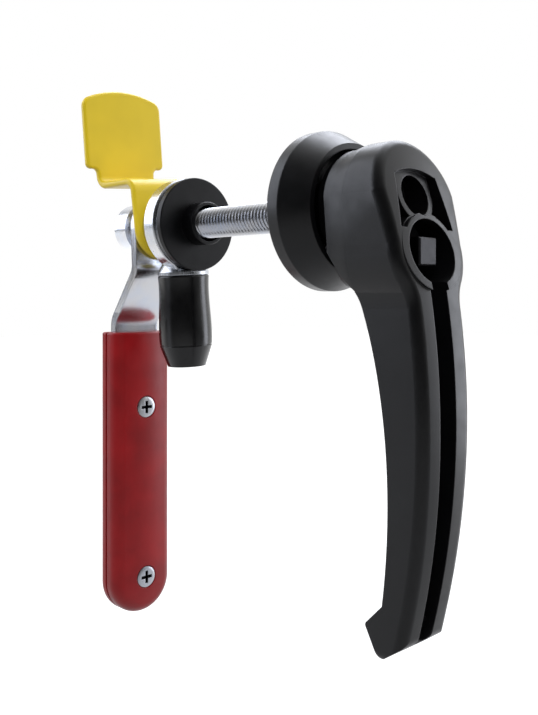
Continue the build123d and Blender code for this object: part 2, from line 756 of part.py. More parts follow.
# Safety catch: one folded sheet, ring at the spindle, shelf over the bolt head, flag on top
catch_front, catch_side = turned_planes(catch_set_deg)
with BuildPart() as safety_catch:
    ring_radius = catch_ring_diameter / 2
    strap_half = catch_strap_width / 2
    flag_x = catch_x - catch_shelf_reach
    # The strap's sides run straight from the ring, which they touch, to the flag
    strap_reach = hypot(strap_half, flag_bottom_z)
    ring_side = atan2(flag_bottom_z, strap_half) - acos(ring_radius / strap_reach)
    ring_side_y = ring_radius * cos(ring_side)
    ring_side_z = ring_radius * sin(ring_side)
    with BuildSketch(catch_side):
        with BuildLine():
            FilletPolyline(
                (catch_x, -ring_radius - catch_sheet),
                (catch_x, catch_shelf_z),
                (flag_x, catch_shelf_z),
                (flag_x, flag_top_z),
                radius=[catch_bend + catch_sheet, catch_bend],
            )
            offset(amount=catch_sheet, side=Side.LEFT)
        make_face()
    extrude(amount=flag_width / 2, both=True)
    with BuildSketch(catch_front.offset(flag_x - catch_sheet)) as catch_outline:
        Circle(ring_radius)
        with BuildLine():
            Polyline(
                (ring_side_y, ring_side_z),
                (strap_half, flag_bottom_z),
                (strap_half, flag_shoulder_z),
                (-strap_half, flag_shoulder_z),
                (-strap_half, flag_bottom_z),
                (-ring_side_y, ring_side_z),
                close=True,
            )
        make_face()
        with BuildLine():
            ThreePointArc(
                (-flag_width / 2, flag_shoulder_z),
                (0, flag_top_z),
                (flag_width / 2, flag_shoulder_z),
            )
            Polyline(
                (flag_width / 2, flag_shoulder_z),
                (flag_width / 2, flag_bottom_z),
                (-flag_width / 2, flag_bottom_z),
                (-flag_width / 2, flag_shoulder_z),
            )
        make_face()
        fillet(catch_outline.vertices().group_by(Axis.Y)[-1], radius=flag_corner_round)
        heels = catch_outline.vertices().filter_by_position(Axis.Y, flag_bottom_z, flag_bottom_z)
        heel_limit = (flag_width - catch_strap_width) / 4.5
        fillet(heels, radius=min(flag_heel_round, heel_limit))
    extrude(amount=catch_x - flag_x + catch_sheet, mode=Mode.INTERSECT)
    fillet(sheet_rims(safety_catch, catch_front.x_dir, catch_sheet), radius=catch_edge_round)
    with BuildSketch(Plane.YZ.offset(catch_x - catch_sheet)):
        Circle(spigot_diameter / 2 + running_gap)
    extrude(amount=catch_sheet, mode=Mode.SUBTRACT)
safety_catch.part.label = "safety_catch"
export_step(safety_catch.part, "parts/safety_catch.step")

# Inner lever: a cranked flat bar between two grip halves
with BuildPart() as lever_bar:
    hub_radius = bar_hub_diameter / 2
    tail_centre_z = bar_end_z + bar_width / 2
    with BuildSketch(Plane.XZ):
        with BuildLine():
            FilletPolyline(
                (bar_x, hub_radius),
                (bar_x, bar_upper_bend_z),
                (grip_face_x, bar_lower_bend_z),
                (grip_face_x, bar_end_z),
                radius=[bar_bend + bar_thickness, bar_bend],
            )
            offset(amount=bar_thickness, side=Side.RIGHT)
        make_face()
    extrude(amount=bar_width, both=True)
    with BuildSketch(Plane.YZ.offset(grip_face_x - bar_thickness)):
        Circle(hub_radius)
        with BuildLine():
            Polyline(
                (hub_radius, 0),
                (bar_width / 2, bar_neck_z),
                (bar_width / 2, tail_centre_z),
                (-bar_width / 2, tail_centre_z),
                (-bar_width / 2, bar_neck_z),
                (-hub_radius, 0),
                close=True,
            )
        make_face()
        with Locations((0, tail_centre_z)):
            Circle(bar_width / 2)
    extrude(amount=bar_offset + bar_thickness, mode=Mode.INTERSECT)
    with BuildSketch(Plane.YZ.offset(sleeve_x)):
        Circle(spindle_radius)
    extrude(amount=bar_thickness, mode=Mode.SUBTRACT)
    with BuildSketch(Plane.YZ.offset(grip_face_x)):
        with Locations(*[(0, z) for z in grip_screw_z]):
            Circle(screw_diameter / 2)
    extrude(amount=-bar_thickness, mode=Mode.SUBTRACT)
lever_bar.part.label = "lever_bar"
export_step(lever_bar.part, "parts/lever_bar.step")


def grip_shell(inner_x, side, crown, round_radius):
    """Crowned half of the grip: a straight run and a turned end. side and crown point outwards."""
    end_z = grip_bottom_z + grip_width / 2
    pocket_width = bar_width + 2 * free_gap
    pocket_depth = (bar_thickness - grip_parting) / 2
    with BuildPart() as half:
        with BuildSketch(Plane.XY.offset(end_z)) as section:
            near = (inner_x + side, -grip_width / 2)
            far = (inner_x + side, grip_width / 2)
            with BuildLine():
                ThreePointArc(near, (inner_x + crown, 0), far)
                Polyline(far, (inner_x, grip_width / 2), (inner_x, -grip_width / 2), near)
            make_face()
            shoulders = [section.vertices().sort_by_distance((*corner, 0))[0] for corner in (near, far)]
            fillet(shoulders, radius=round_radius)
        extrude(amount=grip_top_z - end_z)
        top_rim = half.faces().sort_by(Axis.Z)[-1].edges()
        fillet(top_rim.sort_by_distance((inner_x, 0, grip_top_z))[1:], radius=grip_top_round)
        with BuildSketch(Plane.XY.offset(end_z)):
            add(section.sketch_local)
            with Locations((inner_x, 0)):
                Rectangle(2 * grip_width, grip_width, align=(Align.CENTER, Align.MIN), mode=Mode.INTERSECT)
        revolve(axis=Axis((0, 0, end_z), (-1, 0, 0)), revolution_arc=180)
        with BuildSketch(Plane.YZ.offset(inner_x)):
            with Locations((0, tail_centre_z)):
                Circle(pocket_width / 2)
                Rectangle(pocket_width, grip_top_z - tail_centre_z, align=(Align.CENTER, Align.MIN))
        extrude(amount=pocket_depth if crown > 0 else -pocket_depth, mode=Mode.SUBTRACT)
    return half.part


# Grip halves, held on the bar by countersunk screws and hexagon nuts
front_flat_x = grip_face_x - (bar_thickness - grip_parting) / 2
rear_flat_x = front_flat_x - grip_parting
grip_crown_x = front_flat_x + grip_front_crown
nut_face_x = rear_flat_x - grip_rear_crown
screw_cone_x = grip_crown_x - screw_head_rim
screw_shank_x = screw_cone_x - screw_cone_height
screw_centres = [(0, z) for z in grip_screw_z]

with BuildPart() as grip_screws:
    for centre in screw_centres:
        with BuildSketch(Plane.YZ.offset(nut_face_x)):
            with Locations(centre):
                Circle(screw_diameter / 2)
        extrude(amount=screw_shank_x - nut_face_x)
        for x, radius in ((screw_shank_x, screw_diameter / 2), (screw_cone_x, screw_head_diameter / 2)):
            with BuildSketch(Plane.YZ.offset(x)):
                with Locations(centre):
                    Circle(radius)
        loft()
        with BuildSketch(Plane.YZ.offset(screw_cone_x)):
            with Locations(centre):
                Circle(screw_head_diameter / 2)
        extrude(amount=screw_head_rim)
        with BuildSketch(Plane.YZ.offset(grip_crown_x)):
            with Locations(centre):
                Rectangle(screw_cross_length, screw_cross_width)
                Rectangle(screw_cross_width, screw_cross_length)
        extrude(amount=-screw_cross_depth, mode=Mode.SUBTRACT)
grip_screws.part.label = "grip_screws"
export_step(grip_screws.part, "parts/grip_screws.step")

with BuildPart() as grip_front:
    add(grip_shell(front_flat_x, grip_front_side, grip_front_crown, grip_front_round))
    for centre in screw_centres:
        with BuildSketch(Plane.YZ.offset(front_flat_x)):
            with Locations(centre):
                Circle(screw_diameter / 2)
        extrude(amount=screw_shank_x - front_flat_x, mode=Mode.SUBTRACT)
        for x, radius in ((screw_shank_x, screw_diameter / 2), (screw_cone_x, screw_head_diameter / 2)):
            with BuildSketch(Plane.YZ.offset(x)):
                with Locations(centre):
                    Circle(radius)
        loft(mode=Mode.SUBTRACT)
        with BuildSketch(Plane.YZ.offset(screw_cone_x)):
            with Locations(centre):
                Circle(screw_head_diameter / 2 + screw_recess_gap)
        extrude(amount=screw_head_rim, mode=Mode.SUBTRACT)
grip_front.part.label = "grip_front"
export_step(grip_front.part, "parts/grip_front.step")

with BuildPart() as grip_rear:
    add(grip_shell(rear_flat_x, -grip_rear_side, -grip_rear_crown, grip_rear_round))
    with BuildSketch(Plane.YZ.offset(rear_flat_x)):
        with Locations(*screw_centres):
            Circle(screw_diameter / 2)
    extrude(amount=-grip_rear_crown, mode=Mode.SUBTRACT)
    with BuildSketch(Plane.YZ.offset(nut_face_x)):
        with Locations(*screw_centres):
            RegularPolygon(nut_flats / 2, 6, major_radius=False)
    extrude(amount=nut_thickness, mode=Mode.SUBTRACT)
grip_rear.part.label = "grip_rear"
export_step(grip_rear.part, "parts/grip_rear.step")

with BuildPart() as grip_nuts:
    with BuildSketch(Plane.YZ.offset(nut_face_x)):
        with Locations(*screw_centres):
            RegularPolygon(nut_flats / 2, 6, major_radius=False)
            Circle(screw_diameter / 2, mode=Mode.SUBTRACT)
    extrude(amount=nut_thickness)
grip_nuts.part.label = "grip_nuts"
export_step(grip_nuts.part, "parts/grip_nuts.step")

# Sleeve between the inner lever and the spindle's head
with BuildPart() as end_sleeve:
    with BuildSketch(Plane.YZ.offset(head_x)):
        Circle(sleeve_diameter / 2)
        Circle(spindle_radius, mode=Mode.SUBTRACT)
    extrude(amount=sleeve_length)
end_sleeve.part.label = "end_sleeve"
export_step(end_sleeve.part, "parts/end_sleeve.step")
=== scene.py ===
"""Studio scene of a locking door handle: finishes, moulded handle, thread, fasteners, light and camera.

Metres, in the frame's axes: +X along the spindle out of the door, +Z up.
"""

import math

import bmesh
import bpy
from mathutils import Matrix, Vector


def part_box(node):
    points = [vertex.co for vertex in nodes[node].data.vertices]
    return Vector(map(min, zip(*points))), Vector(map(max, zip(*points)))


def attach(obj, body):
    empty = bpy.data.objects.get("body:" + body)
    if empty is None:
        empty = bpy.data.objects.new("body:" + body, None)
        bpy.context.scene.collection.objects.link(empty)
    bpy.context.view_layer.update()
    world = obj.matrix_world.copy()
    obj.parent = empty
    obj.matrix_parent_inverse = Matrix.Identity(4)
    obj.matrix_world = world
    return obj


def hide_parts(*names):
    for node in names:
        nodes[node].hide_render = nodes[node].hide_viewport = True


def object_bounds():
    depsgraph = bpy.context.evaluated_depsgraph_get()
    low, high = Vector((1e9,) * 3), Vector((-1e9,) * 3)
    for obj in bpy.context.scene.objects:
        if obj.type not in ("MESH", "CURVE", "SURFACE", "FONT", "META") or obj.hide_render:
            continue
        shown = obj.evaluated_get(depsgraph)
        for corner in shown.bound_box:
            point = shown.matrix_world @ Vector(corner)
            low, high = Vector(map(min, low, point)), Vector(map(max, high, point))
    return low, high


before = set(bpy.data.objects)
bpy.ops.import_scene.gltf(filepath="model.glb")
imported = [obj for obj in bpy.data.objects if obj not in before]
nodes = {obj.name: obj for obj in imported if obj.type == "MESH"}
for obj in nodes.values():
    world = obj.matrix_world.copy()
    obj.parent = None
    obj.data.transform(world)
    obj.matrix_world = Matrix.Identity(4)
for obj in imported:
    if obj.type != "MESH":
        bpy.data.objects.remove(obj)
cad_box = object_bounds()

MM = 0.001

# Camera of the photograph: level, with its lens shifted down
CAMERA_PLACE = (201.6 * MM, -218.1 * MM, -28.15 * MM)
CAMERA_AZIMUTH = 46.357
CAMERA_CLIP_START = 10 * MM
FOCAL_PIXELS = 859.55
HORIZON_PIXEL = 294.19
PHOTO_HEIGHT = 715
SENSOR = 36.0

# Meshes: points of a ring, merging distances, grid steps per metre, degrees at a sharp edge
SEGMENTS = 64
MERGE = 1e-7
SOLID_MERGE = 1e-6
GRID_STEPS = 1e6
SHARP_ANGLE = 32

# Head of the outer handle: a teardrop of two arcs, and straight sides that face down by a small lean
HEAD_CENTRE_Z = 0.7 * MM
HEAD_RADIUS = 19.75 * MM
LOCK_CENTRE_Z = -15.0 * MM
LOCK_LAND_RADIUS = 18.2 * MM
HEAD_LEAN = math.asin((HEAD_RADIUS - LOCK_LAND_RADIUS) / (HEAD_CENTRE_Z - LOCK_CENTRE_Z))

# Hub of the outer handle: nearly straight, flared to the head, cut off below along a line of points (x, z)
HUB_SHOULDER_X = 18.0 * MM
HUB_FLARE_X = 26.0 * MM
HUB_BLEND = 6.5 * MM
HUB_ROWS = 8
HUB_TAPER = 0.3 * MM
HUB_TOP_DROP = 0.9 * MM
HUB_STEP = 0.4 * MM
HUB_SKIN = 3.0 * MM
HUB_UNDERCUT = ((13.5 * MM, -7.5 * MM), (26.19 * MM, -28.0 * MM))

# End of the outer handle's slot, as corners (x, z)
SLOT_HALF_WIDTH = 3.44 * MM
SLOT_END = [
    (36.1 * MM, -130.0 * MM),
    (39.8 * MM, -137.2 * MM),
    (60.0 * MM, -137.2 * MM),
    (60.0 * MM, -130.0 * MM),
]

# Finishes of the outer handle
HANDLE_FINISHES = ["handle_moulding", "hub_moulding"]
HUB_FINISH_INDEX = 1

# Smooth shading of its sides: depth inside the outline, turn to the front, and cosines to a known normal
SIDE_MARGIN = 0.45 * MM
SIDE_FACING = 0.02
SIDE_MATCH = 0.95
SOLID_MATCH = 0.8

# Spindle
SPINDLE_RADIUS = 5.9 * MM
THREAD_PITCH = 1.75 * MM
THREAD_DEPTH = 1.0 * MM
THREAD_ROOT_RADIUS = SPINDLE_RADIUS - THREAD_DEPTH
THREAD_ROOT_SHARE = 0.22
THREAD_CREST_SHARE = 0.16
THREAD_STEPS = 8
THREAD_START_X = -74.0 * MM
HEAD_HEIGHT = 8.4 * MM
HEAD_CHAMFER = 0.6 * MM
SOCKET_FLATS = 8.0 * MM
SOCKET_DEPTH = 3.6 * MM

# Grip screws and nuts
SCREW_SHANK_RADIUS = 2.5 * MM
SCREW_RIM = 0.5 * MM
SCREW_CONE = 2.2 * MM
SCREW_SLACK = 0.05 * MM
SCREW_DOME = 0.25 * MM
SCREW_DOME_SHOULDER = SCREW_DOME / 3
SCREW_SHOULDER_SHARE = 0.88
SCREW_TOP_SHARE = 0.72
CROSS_REACH = 2.7 * MM
CROSS_WIDTH = 1.35 * MM
CROSS_DEPTH = 1.9 * MM
CROSS_TAPER = 0.55
# Finish index of the painted shade in the screws' cross recesses
RECESS_SHADE_INDEX = 1
NUT_FLATS = 8.0 * MM
NUT_CHAMFER = 0.45 * MM
NUT_SEGMENTS = 60

# Patterns of the finishes: sizes, depths, factors of colour (dark, light) and offsets of roughness
NOISE_RANGE = (0.3, 0.7)
EDGE_SAMPLES = 4
ROUGHNESS_DRIFT = (-0.04, 0.05)
CLOUD_SIZE = 14 * MM
CLOUD_SHADES = ((0.82, 0.82, 0.82), (1.2, 1.2, 1.2))
PATCH_SIZE = 5 * MM
BLOOM_SIZE = 9 * MM
BLOOM_SHADES = ((0.93, 0.97, 1.02), (1.04, 1.01, 0.95))
ROLLING_SIZE = 0.7 * MM
ROLLING_STRETCH = (1.0, 1.0, 14.0)
WEAR_SIZE = 1.5 * MM
WEAR_DEPTH = 0.01 * MM
WEAR_DRIFT = (-0.06, 0.08)
LOCK_EDGE_RADIUS = 0.4 * MM
KEY_POST_LENGTH = 9.0 * MM
MOTTLE_SIZE = 20 * MM
MOTTLE_SHADES = ((0.93, 0.93, 0.93), (1.05, 1.05, 1.05))
PEEL_SIZE = 0.9 * MM
PEEL_DEPTH = 0.015 * MM
PAINT_EDGE_RADIUS = 0.7 * MM

# Looks of the finishes, by kind
BLACK = (0.002, 0.002, 0.0024)
MOULDINGS = {
    "black_moulding": dict(
        color=BLACK,
        grain_size=0.4 * MM,
        grain_depth=0.012 * MM,
        edge_radius=0.45 * MM,
    ),
    "handle_moulding": dict(
        color=BLACK,
        grain_size=0.4 * MM,
        grain_depth=0.014 * MM,
        edge_radius=0.45 * MM,
        crown_radius=110 * MM,
    ),
    "hub_moulding": dict(
        color=BLACK,
        grain_size=0.4 * MM,
        grain_depth=0.014 * MM,
        edge_radius=0.0,
    ),
    "black_disc": dict(
        color=(0.0018, 0.0018, 0.0022),
        grain_size=0.3 * MM,
        grain_depth=0.006 * MM,
        edge_radius=0.3 * MM,
        shine=0.3,
    ),
    "roller_black": dict(
        color=(0.0012, 0.0012, 0.0015),
        roughness=0.22,
        grain_size=0.6 * MM,
        grain_depth=0.004 * MM,
        edge_radius=0.3 * MM,
        shine=0.65,
    ),
    "red_grip": dict(
        color=(0.26, 0.005, 0.007),
        grain_size=0.35 * MM,
        grain_depth=0.006 * MM,
        edge_radius=0.5 * MM,
        shine=0.4,
    ),
    "gasket_rubber": dict(
        color=(0.012, 0.012, 0.012),
        roughness=0.7,
        grain_size=0.4 * MM,
        grain_depth=0.02 * MM,
        edge_radius=0.2 * MM,
    ),
}
PLATED_METALS = {
    "zinc": dict(color=(0.70, 0.71, 0.74), roughness=0.24, mark_depth=0.001 * MM, edge_radius=0.4 * MM),
    "bar_zinc": dict(color=(0.66, 0.67, 0.71), roughness=0.22, mark_depth=0.0005 * MM, edge_radius=1.0 * MM),
    "thread_zinc": dict(color=(0.80, 0.81, 0.85), roughness=0.22, mark_depth=0.0, edge_radius=0.0),
    "brass": dict(color=(0.72, 0.52, 0.24), roughness=0.3),
    "fastener": dict(color=(0.56, 0.57, 0.60), roughness=0.3),
    # Painted shade: near-black metal for the screws' cross recesses, standing in for the shade that falls in
    # them
    "recess": dict(color=(0.03, 0.03, 0.032), roughness=0.45),
}
PAINTS = {
    "yellow_paint": dict(color=(0.74, 0.545, 0.018), roughness=0.34),
}
LOCK_METALS = {
    "lock_metal": dict(
        flange_color=(0.008, 0.008, 0.009),
        post_color=(0.05, 0.05, 0.053),
        roughness=0.38,
    ),
}

# Finish of each node of the frame
NODE_FINISH = {
    "rosette": "black_moulding",
    "rosette_gasket": "gasket_rubber",
    "rosette_bush": "black_disc",
    "outer_handle": "handle_moulding",
    "threaded_insert": "brass",
    "lock_plug": "lock_metal",
    "lock_circlip": "fastener",
    "spindle_bolt": "zinc",
    "bearing_disc": "black_disc",
    "thrust_washer": "zinc",
    "collar_nut": "black_disc",
    "cam_arm": "zinc",
    "roller_axle": "fastener",
    "roller": "roller_black",
    "hub_spacer": "zinc",
    "safety_catch": "yellow_paint",
    "lever_bar": "bar_zinc",
    "grip_screws": "fastener",
    "grip_front": "red_grip",
    "grip_rear": "red_grip",
    "grip_nuts": "fastener",
    "end_sleeve": "zinc",
}

# Room round the object: brightness as (reach along FRONT_AND_BELOW, level), from behind to the front
WHITE = (1.0, 1.0, 1.0, 1.0)
FRONT = (0.7237, -0.69, 0.0)
FRONT_AND_BELOW = (0.142, -0.807, -0.574)
ROOM_LEVELS = [
    (-1.0, 1.0),
    (-0.6, 0.9),
    (-0.4, 0.38),
    (-0.15, 0.13),
    (0.1, 0.1),
    (0.3, 0.03),
    (1.0, 0.02),
]

# Floor
FLOOR_DROP = 0.09
FLOOR_SIZE = 8.0
FLOOR_COLOR = (0.3, 0.3, 0.3)
FLOOR_ROUGHNESS = 0.9

# The floor's glow: to the camera by distance from the object, in gloss by distance to the front
SEEN_DISTANCES = (0.3, 1.0)
SEEN_GLOW = (0.8, 1.0)
MIRRORED_DISTANCES = (-0.4, 0.1)
MIRRORED_GLOW = (0.9, 0.0)

# Soft boxes: azimuth from +X, places and sizes in metres, level as the brightness of the face
COOL_LIGHT = (0.93, 0.97, 1.08)
SOFT_BOXES = {
    "right_box": dict(azimuth=65, distance=1.0, height=0.05, width=0.4, tall=0.8, level=2.7),
    "left_box": dict(azimuth=216, distance=0.6, height=0.42, width=0.6, tall=0.8, level=2.3),
    "left_low_box": dict(azimuth=238, distance=0.5, height=-0.28, width=0.16, tall=0.45, level=0.45),
    "back_box": dict(azimuth=118, distance=0.7, height=0.9, width=1.0, tall=0.8, level=4.4, tilted=True),
    "key_box": dict(
        azimuth=-44, distance=1.0, height=0.7, width=0.8, tall=0.8, level=5.0, tilted=True, in_gloss=False
    ),
}


# Node trees


def new_material(name, color, roughness, metallic=0.0, shine=0.5):
    """Material with one principled shader, its constant inputs set on the shader itself."""
    material = bpy.data.materials.new(name)
    material.use_nodes = True
    shader = material.node_tree.nodes["Principled BSDF"]
    shader.inputs["Base Color"].default_value = (*color, 1.0)
    shader.inputs["Roughness"].default_value = roughness
    shader.inputs["Metallic"].default_value = metallic
    shader.inputs["Specular IOR Level"].default_value = shine
    return material, material.node_tree, shader


def coordinates(tree):
    """The piece's own coordinates, in metres."""
    return tree.nodes.new("ShaderNodeTexCoord").outputs["Object"]


def coordinate(tree, axis):
    """One of the piece's own coordinates, in metres."""
    place = tree.nodes.new("ShaderNodeSeparateXYZ")
    tree.links.new(coordinates(tree), place.inputs["Vector"])
    return place.outputs[axis]


def towards(tree, vector, direction):
    """How far a vector reaches along a fixed direction."""
    node = tree.nodes.new("ShaderNodeVectorMath")
    node.operation = "DOT_PRODUCT"
    node.inputs[1].default_value = direction
    tree.links.new(vector, node.inputs[0])
    return node.outputs["Value"]


def combine(tree, operation, first, second):
    """A value put together with another value or with a plain number."""
    node = tree.nodes.new("ShaderNodeMath")
    node.operation = operation
    tree.links.new(first, node.inputs[0])
    if isinstance(second, float):
        node.inputs[1].default_value = second
    else:
        tree.links.new(second, node.inputs[1])
    return node.outputs["Value"]


def map_range(tree, value, source, target):
    """Value mapped from one range to another, and held there beyond its ends."""
    node = tree.nodes.new("ShaderNodeMapRange")
    for side, ends in (("From", source), ("To", target)):
        node.inputs[f"{side} Min"].default_value = ends[0]
        node.inputs[f"{side} Max"].default_value = ends[1]
    tree.links.new(value, node.inputs["Value"])
    return node.outputs["Result"]


def tint(tree, value, dark, light):
    """Colour that runs from dark to light over the value's middle range."""
    node = tree.nodes.new("ShaderNodeValToRGB")
    for element, place, color in zip(node.color_ramp.elements, NOISE_RANGE, (dark, light)):
        element.position = place
        element.color = (*color, 1.0)
    tree.links.new(value, node.inputs["Fac"])
    return node.outputs["Color"]


def noise(tree, size, detail=2.0, stretch=(1.0, 1.0, 1.0)):
    """Noise whose lumps are about size across, drawn out along an axis by stretch."""
    mapping = tree.nodes.new("ShaderNodeMapping")
    mapping.inputs["Scale"].default_value = [1.0 / (size * factor) for factor in stretch]
    tree.links.new(coordinates(tree), mapping.inputs["Vector"])
    texture = tree.nodes.new("ShaderNodeTexNoise")
    texture.inputs["Scale"].default_value = 1.0
    texture.inputs["Detail"].default_value = detail
    tree.links.new(mapping.outputs["Vector"], texture.inputs["Vector"])
    return texture.outputs["Fac"]


def vary_color(tree, shader, color, pattern, shades):
    """Base colour that wanders with a pattern between two shades of a colour."""
    dark, light = [[channel * factor for channel, factor in zip(color, shade)] for shade in shades]
    tree.links.new(tint(tree, pattern, dark, light), shader.inputs["Base Color"])


def vary_roughness(tree, shader, roughness, pattern, drift):
    """Roughness that wanders with a pattern between two offsets."""
    ends = [roughness + offset for offset in drift]
    tree.links.new(map_range(tree, pattern, NOISE_RANGE, ends), shader.inputs["Roughness"])


def add_relief(tree, shader, edge_radius, *layers):
    """Softened edges, then one bump for each (height, depth) layer."""
    edge = tree.nodes.new("ShaderNodeBevel")
    edge.samples = EDGE_SAMPLES
    edge.inputs["Radius"].default_value = edge_radius
    normal = edge.outputs["Normal"]
    for height, depth in layers:
        bump = tree.nodes.new("ShaderNodeBump")
        bump.inputs["Distance"].default_value = depth
        tree.links.new(height, bump.inputs["Height"])
        tree.links.new(normal, bump.inputs["Normal"])
        normal = bump.outputs["Normal"]
    tree.links.new(normal, shader.inputs["Normal"])


# Finishes


def crown(tree, radius):
    """Height of a face that is crowned across Y."""
    across = coordinate(tree, "Y")
    square = combine(tree, "MULTIPLY", across, across)
    return combine(tree, "MULTIPLY", square, -0.5 / radius)


def moulding_finish(
    name, color, grain_size, grain_depth, edge_radius, roughness=0.36, crown_radius=None, shine=0.5
):
    """Moulded plastic with an eroded grain and a faint cloudiness."""
    material, tree, shader = new_material(name, color, roughness, shine=shine)
    vary_color(tree, shader, color, noise(tree, CLOUD_SIZE, detail=3.0), CLOUD_SHADES)
    vary_roughness(tree, shader, roughness, noise(tree, PATCH_SIZE, detail=4.0), ROUGHNESS_DRIFT)
    layers = [(noise(tree, grain_size, detail=3.0), grain_depth)]
    if crown_radius:
        layers.insert(0, (crown(tree, crown_radius), 1.0))
    add_relief(tree, shader, edge_radius, *layers)
    return material


def plated_finish(name, color, roughness, mark_depth=0.003 * MM, edge_radius=0.5 * MM):
    """Bright metal with faint rolling marks and a slight blue and straw bloom."""
    material, tree, shader = new_material(name, color, roughness, metallic=1.0)
    vary_color(tree, shader, color, noise(tree, BLOOM_SIZE, detail=4.0), BLOOM_SHADES)
    marks = noise(tree, ROLLING_SIZE, detail=3.0, stretch=ROLLING_STRETCH)
    vary_roughness(tree, shader, roughness, marks, ROUGHNESS_DRIFT)
    add_relief(tree, shader, edge_radius, (marks, mark_depth))
    return material


def paint_finish(name, color, roughness):
    """Powder coat: orange peel over a soft mottle."""
    material, tree, shader = new_material(name, color, roughness)
    vary_color(tree, shader, color, noise(tree, MOTTLE_SIZE), MOTTLE_SHADES)
    add_relief(tree, shader, PAINT_EDGE_RADIUS, (noise(tree, PEEL_SIZE, detail=1.0), PEEL_DEPTH))
    return material


def lock_finish(name, flange_color, post_color, roughness):
    """Blackened lock body whose key post, at its outer end, is worn to bare metal."""
    material, tree, shader = new_material(name, post_color, roughness, metallic=1.0)
    post_x = max(vertex.co.x for vertex in nodes["lock_plug"].data.vertices) - KEY_POST_LENGTH
    on_post = combine(tree, "GREATER_THAN", coordinate(tree, "X"), post_x)
    tree.links.new(tint(tree, on_post, flange_color, post_color), shader.inputs["Base Color"])
    wear = noise(tree, WEAR_SIZE, detail=4.0)
    vary_roughness(tree, shader, roughness, wear, WEAR_DRIFT)
    add_relief(tree, shader, LOCK_EDGE_RADIUS, (wear, WEAR_DEPTH))
    return material


FINISHES = {}
for make_finish, looks in (
    (moulding_finish, MOULDINGS),
    (plated_finish, PLATED_METALS),
    (paint_finish, PAINTS),
    (lock_finish, LOCK_METALS),
):
    for finish_name, look in looks.items():
        FINISHES[finish_name] = make_finish(finish_name, **look)

for node_name, finish_name in NODE_FINISH.items():
    slots = nodes[node_name].data.materials
    slots.clear()
    slots.append(FINISHES[finish_name])


# Turned pieces: rings of points round the X axis, skinned one to the next


def hexagon(flats):
    """Radius of a hexagon at an angle, from its width across flats."""
    sector = math.pi / 3
    return lambda angle: flats / 2 / math.cos((angle % sector) - sector / 2)


def cross(reach, width):
    """Radius of a four-winged recess at an angle."""
    quarter = math.pi / 2

    def radius(angle):
        turn = (angle + quarter / 2) % quarter - quarter / 2
        side = abs(math.sin(turn))
        tip = reach / math.cos(turn)
        return tip if side * tip < width / 2 else width / 2 / side

    return radius


def circle(radius):
    """The same radius at every angle."""
    return lambda angle: radius


def even_angles(count):
    """Angles of one turn, evenly spaced."""
    return [2 * math.pi * i / count for i in range(count)]


def add_ring(bm, x, radius_at, centre, angles):
    """One ring of points at x, round a centre (y, z)."""
    ring = []
    for angle in angles:
        radius = radius_at(angle)
        place = (x, centre[0] + radius * math.cos(angle), centre[1] + radius * math.sin(angle))
        ring.append(bm.verts.new(place))
    return ring


def skin(bm, first, second, finish_index=0):
    """Faces between two rings."""
    count = len(first)
    for i in range(count):
        j = (i + 1) % count
        face = bm.faces.new((first[i], first[j], second[j], second[i]))
        face.material_index = finish_index


def skin_all(bm, rings):
    """Faces between each ring and the next."""
    for first, second in zip(rings, rings[1:]):
        skin(bm, first, second)


def cap(bm, ring, x, centre, finish_index=0):
    """Closes a ring with a fan round its centre."""
    middle = bm.verts.new((x, *centre))
    for i in range(len(ring)):
        face = bm.faces.new((ring[i], ring[(i + 1) % len(ring)], middle))
        face.material_index = finish_index


def add_object(name, data):
    """New object in the scene."""
    thing = bpy.data.objects.new(name, data)
    bpy.context.scene.collection.objects.link(thing)
    return thing


def to_mesh(name, bm, finishes=()):
    """Mesh of a closed bmesh, its faces turned outwards."""
    bmesh.ops.recalc_face_normals(bm, faces=bm.faces)
    mesh = bpy.data.meshes.new(name)
    bm.to_mesh(mesh)
    bm.free()
    for finish in finishes:
        mesh.materials.append(FINISHES[finish])
    return mesh


def add_piece(name, bm, finishes, body, node):
    """Finished object from a bmesh, riding on a body in place of a node."""
    bmesh.ops.remove_doubles(bm, verts=bm.verts, dist=MERGE)
    mesh = to_mesh(name, bm, finishes)
    mesh.shade_smooth()
    mesh.set_sharp_from_angle(angle=math.radians(SHARP_ANGLE))
    piece = add_object(name, mesh)
    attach(piece, body)
    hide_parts(node)
    return piece


# Outer handle


def teardrop_depth(y, z):
    """Signed distance from the head's outline, negative inside, and the way out of it."""
    side = 1 if y >= 0 else -1
    y = abs(y)
    for centre, radius, above in (
        (HEAD_CENTRE_Z, HEAD_RADIUS, True),
        (LOCK_CENTRE_Z, LOCK_LAND_RADIUS, False),
    ):
        angle = math.atan2(z - centre, y)
        if (angle >= -HEAD_LEAN) == above:
            reach = math.hypot(y, z - centre)
            return reach - radius, (side * y / reach, (z - centre) / reach)
    out = (math.cos(HEAD_LEAN), -math.sin(HEAD_LEAN))
    return y * out[0] + (z - HEAD_CENTRE_Z) * out[1] - HEAD_RADIUS, (side * out[0], out[1])


def hub_inset(x, rise):
    """Inset of the hub's skin from the head's outline at x, and its slope along x."""
    share = min(max((HUB_FLARE_X - x) / HUB_BLEND, 0), 1)
    full = HUB_TAPER + HUB_TOP_DROP * max(rise, 0) ** 2
    return full * share**2 * (3 - 2 * share), -full * 6 * share * (1 - share) / HUB_BLEND


